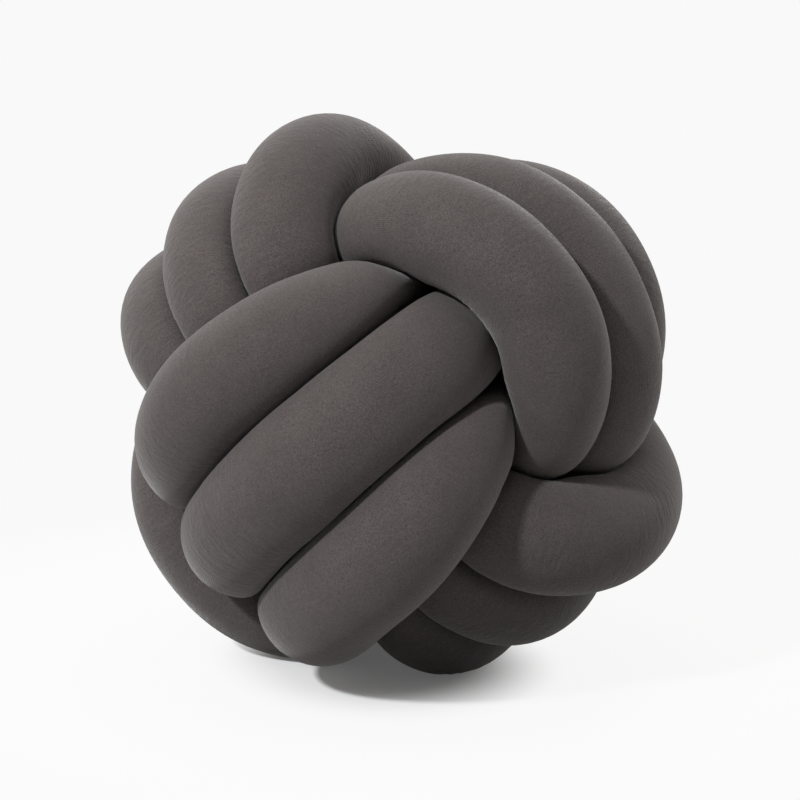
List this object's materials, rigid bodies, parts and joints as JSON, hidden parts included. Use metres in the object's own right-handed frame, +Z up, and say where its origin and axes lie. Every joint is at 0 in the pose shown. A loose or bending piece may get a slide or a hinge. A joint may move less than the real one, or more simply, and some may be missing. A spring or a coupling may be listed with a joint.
{
  "type": "knot cushion",
  "caption": "Round decorative cushion tied from a thick stuffed jersey tube in a woven ball knot, with a small flat underside to rest on.",
  "frame": {"origin": "middle of the bounding box's base, on the surface that the cushion rests on", "axes": "+Z up as the cushion rests; -Y towards the picture's viewer; +X to that viewer's right"},
  "size_m": [0.2884, 0.2926, 0.2745],
  "materials": {
    "grey_jersey": "matt, slightly fuzzy fine jersey knit"
  },
  "bodies": {
    "root": {"knotted_tube": "grey_jersey"}
  },
  "joints": []
}
